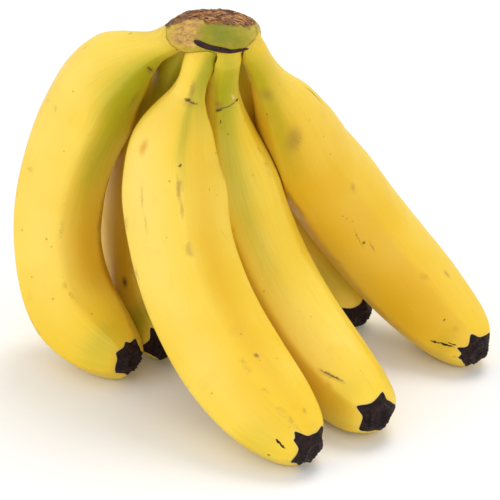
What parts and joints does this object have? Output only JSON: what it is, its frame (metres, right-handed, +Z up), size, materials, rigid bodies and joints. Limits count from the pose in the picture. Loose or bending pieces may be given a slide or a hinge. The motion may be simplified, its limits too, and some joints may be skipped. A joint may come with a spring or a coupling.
{
  "type": "bunch of bananas",
  "caption": "Hand of ripe yellow bananas joined at one cut woody crown, with curved ridged fruits and dry black blossom ends, standing unheld on a table.",
  "frame": {"origin": "on the surface that the bunch rests on, under the middle of its bounding box", "axes": "+X along the row of fruits to the viewer's right, +Y away from the side that the blossom ends point to, +Z up"},
  "size_m": [0.202, 0.1648, 0.1617],
  "materials": {
    "peel": "waxy satin peel, greener at the necks",
    "blossom_end": "dry, wrinkled, nearly black",
    "crown": "dry fibrous brown cut over green rind"
  },
  "bodies": {
    "root": {"crown": "crown", "front_banana": "peel", "left_banana": "peel", "second_banana": "peel", "right_banana": "peel", "back_left_banana": "peel", "back_right_banana": "peel"}
  },
  "joints": []
}
